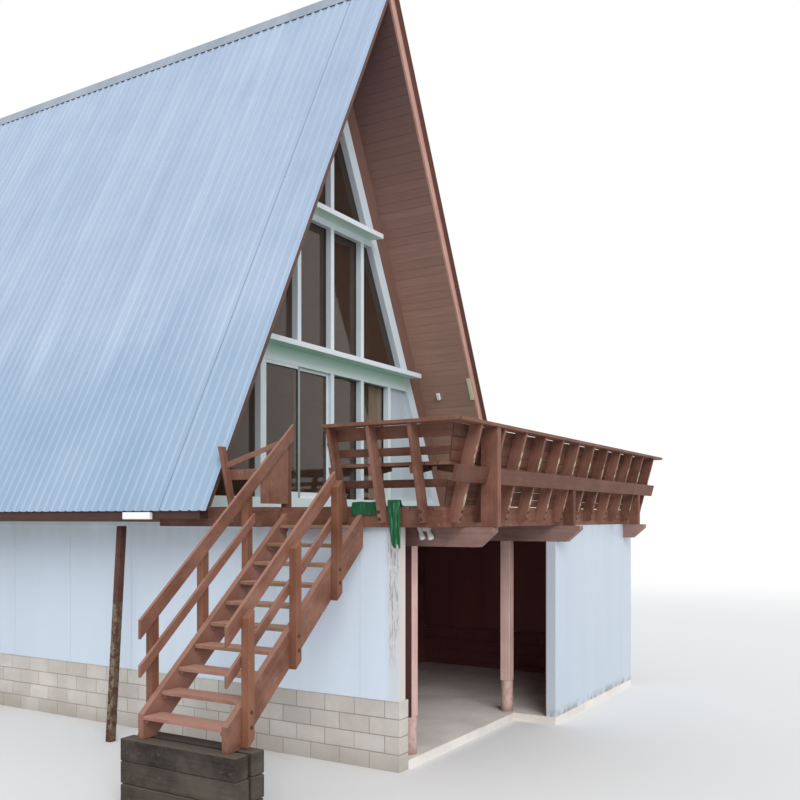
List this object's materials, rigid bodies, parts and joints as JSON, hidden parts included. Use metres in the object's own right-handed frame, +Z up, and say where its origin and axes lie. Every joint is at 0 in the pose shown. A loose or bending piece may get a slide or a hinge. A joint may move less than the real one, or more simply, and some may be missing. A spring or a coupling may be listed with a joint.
{
  "type": "a-frame cabin",
  "caption": "A-frame cabin with a ribbed metal roof on a half-open basement, a raised timber deck with leaning bench rail, and an open outside stair.",
  "frame": {"origin": "on the ground under the ridge, in line with the front window wall, on the underside of the basement slab", "axes": "+X across the gable to the viewer's right when facing the window wall, +Y from the deck towards the rear, +Z up"},
  "size_m": [9.77, 14.05, 11.0727],
  "materials": {
    "concrete": "matt, trowelled and damp stained",
    "block": "matt, rough face with mortar joints",
    "wall_paint": "satin paint on plywood, peeling at the exposed edges",
    "carport_wall": "matt stain",
    "pipe_metal": "worn paint with rust",
    "deck_wood": "worn satin stain",
    "brown_wood": "matt dark brown stain",
    "inner_wood": "bare sawn boards",
    "barge_wood": "faded satin paint",
    "sleeper_wood": "rough and weathered",
    "roof_metal": "glossy light blue enamel",
    "white_trim": "satin white paint",
    "mint_trim": "satin mint paint",
    "door_frame": "white enamel",
    "window_glass": "clear and dark behind",
    "curtain_cloth": "plain woven cloth",
    "turf": "short synthetic pile",
    "lamp_white": "gloss",
    "box_white": "satin white paint"
  },
  "bodies": {
    "root": {"barge_boards": "barge_wood", "basement_slab": "concrete", "bench_brackets": "deck_wood", "bench_planks": "deck_wood", "cabin_floor": "inner_wood", "carport_back_wall": "carport_wall", "carport_posts": "deck_wood", "curtain": "curtain_cloth", "deck_beams": "brown_wood", "deck_boards": "deck_wood", "deck_front_rim": "deck_wood", "deck_joists": "brown_wood", "deck_side_rims": "deck_wood", "deck_turf": "turf", "eave_beams": "brown_wood", "eave_box": "box_white", "eave_props": "brown_wood", "end_panel": "wall_paint", "floodlight": "lamp_white", "floor_joists": "brown_wood", "front_glass": "window_glass", "front_rail_boards": "deck_wood", "front_right_wall": "wall_paint", "gable_bents": "brown_wood", "mullions": "white_trim", "post_pipes": "pipe_metal", "rafters": "inner_wood", "rail_band": "deck_wood", "rail_caps": "deck_wood", "rail_posts": "deck_wood", "rail_supports": "deck_wood", "raked_trims": "white_trim", "rear_block_wall": "block", "rear_framed_wall": "wall_paint", "rear_gable_wall": "wall_paint", "rear_glass": "window_glass", "rear_window_frames": "white_trim", "ridge_board": "inner_wood", "ridge_cap": "roof_metal", "roof_boarding": "inner_wood", "roof_sheets": "roof_metal", "roof_soffits": "brown_wood", "short_rail": "deck_wood", "side_block_walls": "block", "side_framed_walls": "wall_paint", "side_rail_boards": "deck_wood", "sill_and_headers": "white_trim", "sliding_door": "door_frame", "stair_cleats": "deck_wood", "stair_handrails": "deck_wood", "stair_posts": "deck_wood", "stair_side_panel": "deck_wood", "stair_sleepers": "sleeper_wood", "stair_stringers": "deck_wood", "stair_treads": "deck_wood", "visors": "mint_trim", "wing_rims": "deck_wood"}
  },
  "joints": []
}
